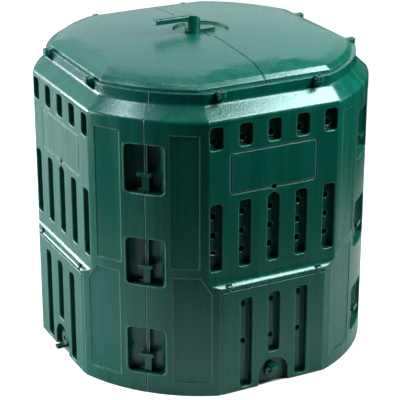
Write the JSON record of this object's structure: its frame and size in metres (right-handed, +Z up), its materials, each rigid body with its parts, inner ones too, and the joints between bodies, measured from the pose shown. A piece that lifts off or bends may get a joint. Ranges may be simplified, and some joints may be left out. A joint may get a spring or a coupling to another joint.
{
  "type": "compost bin",
  "caption": "Free-standing garden compost bin with clipped wall panels, slotted vents, hinged hatches with turn latches and a domed two-leaf lid with a turning handle.",
  "frame": {"origin": "centre of the outline on the ground, at the bottom of the walls", "axes": "+Z up, -Y out of the front wall, +X to the right seen from the front; the lid splits along Y"},
  "size_m": [0.778, 0.778, 0.7935],
  "materials": {
    "green_plastic": "satin moulded polyethylene with a fine grain",
    "clip_plastic": "smooth moulded polyethylene",
    "screw_steel": "zinc plated"
  },
  "bodies": {
    "walls": {"wall_front": "green_plastic", "wall_right": "green_plastic", "wall_back": "green_plastic", "wall_left": "green_plastic", "clip_front_lower": "clip_plastic", "clip_front_middle": "clip_plastic", "clip_front_upper": "clip_plastic", "clip_right_lower": "clip_plastic", "clip_right_middle": "clip_plastic", "clip_right_upper": "clip_plastic", "clip_back_lower": "clip_plastic", "clip_back_middle": "clip_plastic", "clip_back_upper": "clip_plastic", "clip_left_lower": "clip_plastic", "clip_left_middle": "clip_plastic", "clip_left_upper": "clip_plastic", "lid_pin_left_front": "clip_plastic", "lid_pin_left_rear": "clip_plastic", "lid_pin_right_front": "clip_plastic", "lid_pin_right_rear": "clip_plastic"},
    "left_leaf": {"lid_left": "green_plastic"},
    "right_leaf": {"lid_right": "green_plastic"},
    "handle": {"lid_handle": "green_plastic", "handle_collar": "clip_plastic"},
    "door_front": {"door_front": "green_plastic"},
    "latch_front": {"latch_knob_front": "clip_plastic", "latch_cam_front": "clip_plastic", "latch_screw_front": "screw_steel"},
    "door_right": {"door_right": "green_plastic"},
    "latch_right": {"latch_knob_right": "clip_plastic", "latch_cam_right": "clip_plastic", "latch_screw_right": "screw_steel"},
    "door_back": {"door_back": "green_plastic"},
    "latch_back": {"latch_knob_back": "clip_plastic", "latch_cam_back": "clip_plastic", "latch_screw_back": "screw_steel"},
    "door_left": {"door_left": "green_plastic"},
    "latch_left": {"latch_knob_left": "clip_plastic", "latch_cam_left": "clip_plastic", "latch_screw_left": "screw_steel"}
  },
  "joints": [
    {"name": "lid_left_hinge", "type": "hinge", "parent": "walls", "child": "left_leaf", "pos_m": [-0.3355, 0, 0.7135], "axis": [0, -1, 0], "range_deg": [0, 100]},
    {"name": "lid_right_hinge", "type": "hinge", "parent": "walls", "child": "right_leaf", "pos_m": [0.3355, 0, 0.7135], "axis": [0, 1, 0], "range_deg": [0, 100]},
    {"name": "handle_turn", "type": "hinge", "parent": "left_leaf", "child": "handle", "pos_m": [-0.021, 0, 0.75], "axis": [0, 0, 1], "range_deg": [0, 90]},
    {"name": "door_front_hinge", "type": "hinge", "parent": "walls", "child": "door_front", "pos_m": [0, -0.369, 0.267], "axis": [-1, 0, 0], "range_deg": [0, 100]},
    {"name": "latch_front_turn", "type": "hinge", "parent": "door_front", "child": "latch_front", "pos_m": [0, -0.355, 0.031], "axis": [0, 1, 0], "range_deg": [0, 105]},
    {"name": "door_right_hinge", "type": "hinge", "parent": "walls", "child": "door_right", "pos_m": [0.369, 0, 0.267], "axis": [0, -1, 0], "range_deg": [0, 100]},
    {"name": "latch_right_turn", "type": "hinge", "parent": "door_right", "child": "latch_right", "pos_m": [0.355, 0, 0.031], "axis": [-1, 0, 0], "range_deg": [0, 90]},
    {"name": "door_back_hinge", "type": "hinge", "parent": "walls", "child": "door_back", "pos_m": [0, 0.369, 0.267], "axis": [1, 0, 0], "range_deg": [0, 100]},
    {"name": "latch_back_turn", "type": "hinge", "parent": "door_back", "child": "latch_back", "pos_m": [0, 0.355, 0.031], "axis": [0, -1, 0], "range_deg": [0, 90]},
    {"name": "door_left_hinge", "type": "hinge", "parent": "walls", "child": "door_left", "pos_m": [-0.369, 0, 0.267], "axis": [0, 1, 0], "range_deg": [0, 100]},
    {"name": "latch_left_turn", "type": "hinge", "parent": "door_left", "child": "latch_left", "pos_m": [-0.355, 0, 0.031], "axis": [-1, 0, 0], "range_deg": [0, 90]}
  ]
}
